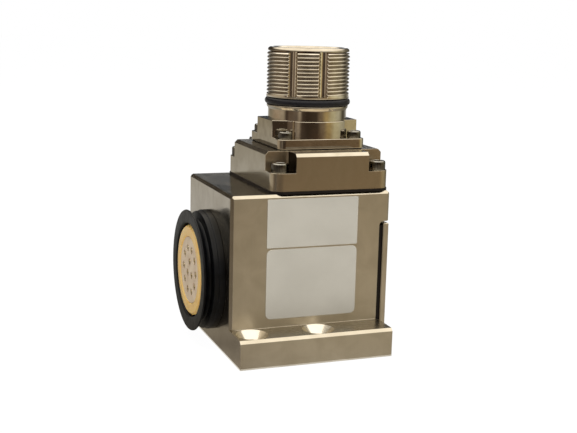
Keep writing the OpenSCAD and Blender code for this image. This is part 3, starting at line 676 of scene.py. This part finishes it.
def shellBase(size):
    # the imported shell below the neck, cut off and closed a hair inside the turned nose
    shape = joined("connector_shell")
    level = (size["collarTop"] - 0.004) * mm
    bmesh.ops.bisect_plane(shape, geom=shape.verts[:] + shape.edges[:] + shape.faces[:], dist=1e-7,
                           plane_co=(0, 0, level), plane_no=(0, 0, 1), clear_outer=True)
    rims = [edge for edge in shape.edges if edge.is_boundary]
    bmesh.ops.triangle_fill(shape, edges=rims, use_beauty=True)
    bmesh.ops.dissolve_limit(shape, angle_limit=flatTurn, verts=shape.verts, edges=shape.edges)
    bmesh.ops.recalc_face_normals(shape, faces=shape.faces)
    markEdges(shape)
    piece = settle("shellFlange", shape, [shellNickel])
    easeEdges(piece, edgeBreak["flange"])
    return piece


def connector(size):
    for piece in (threadedNose(size), shellBase(size)):
        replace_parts(piece, "connector_shell")
    cord = size["ringCord"]
    section = [(size["ringInner"] + cord + cord * math.cos(turn), cord * math.sin(turn))
               for turn in (2 * math.pi * k / 24 for k in range(24))]
    turned("couplingRing", section, [ringRubber], "coupling_o_ring",
           (size["axisX"], 0, (size["grooveBottom"] + size["threadBottom"]) / 2), limit=60)


connector(shellSize)
print("connector turned and threaded")

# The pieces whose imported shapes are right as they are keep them, with their own finish
keptFinish = {"cover_gasket": gasketRubber, "flange_gasket": gasketRubber, "carrier_o_ring": ringRubber,
              "carrier_ring_nut": satinNickel, "wire_loom": wireCover, "connector_insert": darkInsulator,
              "connector_pins": goldPlate, "insert_retainer": screwSteel}
for node, material in keptFinish.items():
    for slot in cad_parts[node].material_slots:
        slot.material = material
print("kept pieces finished")


# Stage: white floor and world, soft lamps, and a surround that only reflections see
stageSize = dict(floor=6.0, floorDrop=0.0002, floorPaint=0.86, floorGlow=0.95, floorWhite=1.03,
                 fill="#F2F3F6", fillStrength=0.55)
lampSize = {"overheadSoftBox": dict(place=(0.0, -0.08, 0.62), size=0.6, power=4.3, colour="#FFF8EC"),
            "frontSoftBox": dict(place=(-0.35, -0.75, 0.55), size=0.5, power=1.3, colour="#FFFAF2")}
lampTarget = (0, 0, 0.03)


def seenAsWhite(tree):
    # 1 for rays that come from the camera, or from a mirror or glass that shows the background
    path = addNode(tree, "ShaderNodeLightPath")
    some = addNode(tree, "ShaderNodeMath", {"operation": "MAXIMUM"},
                   {0: path.outputs["Is Camera Ray"], 1: path.outputs["Is Glossy Ray"]})
    most = addNode(tree, "ShaderNodeMath", {"operation": "MAXIMUM"},
                   {0: some.outputs[0], 1: path.outputs["Is Transmission Ray"]})
    return most.outputs[0]


# What the bright metal sees round it: a table top, a low dark wall and a bright ceiling, with lighter
# and darker directions. The turns are degrees from straight in front towards the cover side. Each has
# nine tones: on the table close by, at 0.1, 0.2, 0.35 and 0.6 m, at the horizon, and three up the wall.
surroundSize = dict(table=((0.001, 0), (0.03, 0), (0.1, 1), (0.2, 2), (0.35, 3), (0.6, 4)),
                    tableTop=0.0004, wall=0.95,
                    heights=((0.0, 5), (0.105, 5), (0.135, 6), (0.3, 7), (0.5, 8), (0.8, 9)),
                    ceiling=(0.6, 0.3, 0.02), ceilingKnot=9, ceilingTone="#FFF8EB", ceilingGlow=1.55,
                    window=(159, 5), windowGlow=1.4, columns=144)
surroundTones = {
    -159: ("#7A7D78", "#9A9A95", "#BDBBB7", "#B0ACA2", "#9A9280",
           "#6A6258", "#6E6A62", "#3A332B", "#4A3F33"),
    -120: ("#8A857B", "#A59E90", "#B3AA9A", "#BDB2A0", "#A8957F",
           "#C4B7A4", "#B5AA97", "#5A5045", "#6B6154"),
    -95: ("#8A8275", "#9B9282", "#A89D8C", "#B0A594", "#A89B88",
          "#C8BBA8", "#B5A897", "#7A7064", "#8C8272"),
    -82: ("#837B6F", "#8A8072", "#867A6C", "#7A6E60", "#4A3E34",
          "#3E332A", "#4A4036", "#7E7468", "#978D7E"),
    -72: ("#7D756A", "#7A7062", "#6E6457", "#5F5548", "#6A5C4F",
          "#7C6A5B", "#85766A", "#8A8072", "#A39A8A"),
    -50: ("#8A8276", "#7A7268", "#74706A", "#6E6A66", "#6E6258",
          "#80705F", "#8A7E70", "#8A8478", "#A39A8A"),
    -42: ("#948B7E", "#877D6F", "#736A5F", "#5E554C", "#A69886",
          "#C6B8A4", "#9A8E7E", "#7A7064", "#A39A8A"),
    -33: ("#A59C8E", "#958A7A", "#71675B", "#50463D", "#4A3E34",
          "#54483D", "#43392F", "#665C50", "#A39A8A"),
    -20: ("#B4AB9C", "#A0937F", "#6E6254", "#463B32", "#3A3027",
          "#45392F", "#3E342B", "#5E5448", "#A39A8A"),
    5: ("#B8AF9F", "#BFB29A", "#988670", "#584434", "#40362C",
        "#4E4338", "#4A3F34", "#8A8074", "#CFC8BA"),
    21: ("#B8AF9F", "#C4B79F", "#978469", "#553E2A", "#84745F",
         "#6A5A49", "#5E5044", "#B0ACA4", "#DCD8CF"),
    38: ("#B0A798", "#BDAE96", "#97856A", "#6A5640", "#B49E6E",
         "#C9B384", "#C4B388", "#B0ACA0", "#DCD8CF"),
    60: ("#A39A8A", "#B5A992", "#BDB192", "#C4B998", "#CFC8A6",
         "#D8D2B0", "#D8D2B0", "#D8D2B8", "#E6E0CC"),
    82: ("#9B9384", "#A39A86", "#B3AC94", "#B9B298", "#BDB9A2",
         "#CFCBB4", "#C4BFA8", "#B3AC98", "#BDB5A2"),
    108: ("#8A8478", "#857F70", "#75705F", "#625E50", "#4E4A3E",
          "#5E5A4C", "#6A6658", "#75705F", "#8A8478"),
    159: ("#8A8780", "#8A8780", "#8A8780", "#9B9993", "#C5C4C0",
          "#FFFFFF", "#3E4145", "#3E4144", "#45413C")}


def surroundTone(size, turn, knot):
    # a smooth blend between the two nearest directions
    if knot == size["ceilingKnot"]:
        return [c * size["ceilingGlow"] for c in linear(size["ceilingTone"])[:3]]
    keys = sorted(surroundTones)
    low = max([k for k in keys if k <= turn], default=keys[-1] - 360)
    high = min([k for k in keys if k > turn], default=keys[0] + 360)
    part = (turn - low) / (high - low)
    part = part * part * (3 - 2 * part)
    ends = []
    for key in (low, high):
        key = (key - keys[0]) % 360 + keys[0]
        glow = size["windowGlow"] if (key, knot) == size["window"] else 1.0
        ends.append([c * glow for c in linear(surroundTones[key][knot])[:3]])
    return [a * (1 - part) + b * part for a, b in zip(*ends)]


def clearedTree(owner):
    owner.use_nodes = True
    owner.node_tree.nodes.clear()
    return owner.node_tree


def makeSurround(size):
    places = [(radius, size["tableTop"], knot) for radius, knot in size["table"]]
    places += [(size["wall"], up, knot) for up, knot in size["heights"]]
    places += [(radius, size["heights"][-1][0], size["ceilingKnot"]) for radius in size["ceiling"]]
    shape = bmesh.new()
    tone = shape.verts.layers.float_color.new("tone")
    grid = []
    for radius, up, knot in places:
        ring = []
        for k in range(size["columns"]):
            turn = -180 + 360 * k / size["columns"]
            angle = math.radians(turn)
            corner = shape.verts.new((radius * math.sin(angle), -radius * math.cos(angle), up))
            corner[tone] = surroundTone(size, turn, knot) + [1.0]
            ring.append(corner)
        grid.append(ring)
    skin(shape, grid)
    shape.faces.new(grid[-1])
    mesh = bpy.data.meshes.new("reflectedRoom")
    shape.to_mesh(mesh)
    shape.free()
    room = linked("reflectedRoom", mesh)
    material = bpy.data.materials.new("reflectedRoom")
    tree = clearedTree(material)
    seen = addNode(tree, "ShaderNodeAttribute", {"attribute_name": "tone"})
    glow = addNode(tree, "ShaderNodeEmission", {"Strength": 1.0}, {"Color": seen.outputs["Color"]})
    addNode(tree, "ShaderNodeOutputMaterial", links={"Surface": glow.outputs[0]})
    material.cycles.emission_sampling = "NONE"
    mesh.materials.append(material)
    # only reflections see it: it neither lights the part nor shades it
    room.visible_camera = room.visible_diffuse = room.visible_shadow = room.visible_transmission = False


def makeLamp(name, size, target):
    light = bpy.data.lights.new(name, "AREA")
    light.shape, light.size, light.energy = "SQUARE", size["size"], size["power"]
    light.color = linear(size["colour"])[:3]
    holder = linked(name, light)
    holder.visible_glossy = False
    holder.location = size["place"]
    holder.rotation_euler = (Vector(target) - holder.location).to_track_quat("-Z", "Y").to_euler()


def makeWorld(size):
    scene.world = bpy.data.worlds.new("studio")
    tree = clearedTree(scene.world)
    fill = addNode(tree, "ShaderNodeBackground",
                   {"Color": linear(size["fill"]), "Strength": size["fillStrength"]})
    white = addNode(tree, "ShaderNodeBackground", {"Color": (1, 1, 1, 1), "Strength": 1.0})
    mixed = addNode(tree, "ShaderNodeMixShader",
                    links={0: seenAsWhite(tree), 1: fill.outputs[0], 2: white.outputs[0]})
    addNode(tree, "ShaderNodeOutputWorld", links={"Surface": mixed.outputs[0]})


def makeFloor(size):
    half, level = size["floor"] / 2, -size["floorDrop"]
    corners = [(-half, -half, level), (half, -half, level), (half, half, level), (-half, half, level)]
    mesh = bpy.data.meshes.new("floor")
    mesh.from_pydata(corners, [], [(0, 1, 2, 3)])
    floor = linked("floor", mesh)
    material = bpy.data.materials.new("whiteFloor")
    tree = clearedTree(material)
    paint = addNode(tree, "ShaderNodeBsdfDiffuse", {"Color": (size["floorPaint"],) * 3 + (1.0,)})
    glow = addNode(tree, "ShaderNodeEmission", {"Color": (1, 1, 1, 1), "Strength": size["floorWhite"]})
    share = addNode(tree, "ShaderNodeMath", {"operation": "MULTIPLY", 1: size["floorGlow"]},
                    {0: seenAsWhite(tree)})
    mixed = addNode(tree, "ShaderNodeMixShader",
                    links={0: share.outputs[0], 1: paint.outputs[0], 2: glow.outputs[0]})
    addNode(tree, "ShaderNodeOutputMaterial", links={"Surface": mixed.outputs[0]})
    mesh.materials.append(material)


makeWorld(stageSize)
makeFloor(stageSize)
makeSurround(surroundSize)
for name, size in lampSize.items():
    makeLamp(name, size, lampTarget)
print("stage lit")

# Camera: the whole part from the front left, a little above
cameraSize = dict(place=(-0.10058, -0.26946, 0.08943), yaw=-0.360049, pitch=0.192253, roll=0.025033,
                  lens=64.70, sensor=36.0, nearest=0.01)


def placeCamera(size):
    yaw, pitch, roll = size["yaw"], size["pitch"], size["roll"]    # in radians
    back = Vector((math.sin(yaw) * math.cos(pitch), -math.cos(yaw) * math.cos(pitch), math.sin(pitch)))
    right = Vector((math.cos(yaw), math.sin(yaw), 0))
    up = back.cross(right)
    across = right * math.cos(roll) + up * math.sin(roll)
    upright = up * math.cos(roll) - right * math.sin(roll)
    lens = bpy.data.cameras.new("camera")
    lens.lens, lens.sensor_width, lens.clip_start = size["lens"], size["sensor"], size["nearest"]
    camera = linked("camera", lens)
    turn = Matrix((across, upright, back)).transposed().to_4x4()
    camera.matrix_world = Matrix.Translation(size["place"]) @ turn
    scene.camera = camera


placeCamera(cameraSize)
scene.view_settings.view_transform = "Standard"
print("camera set")
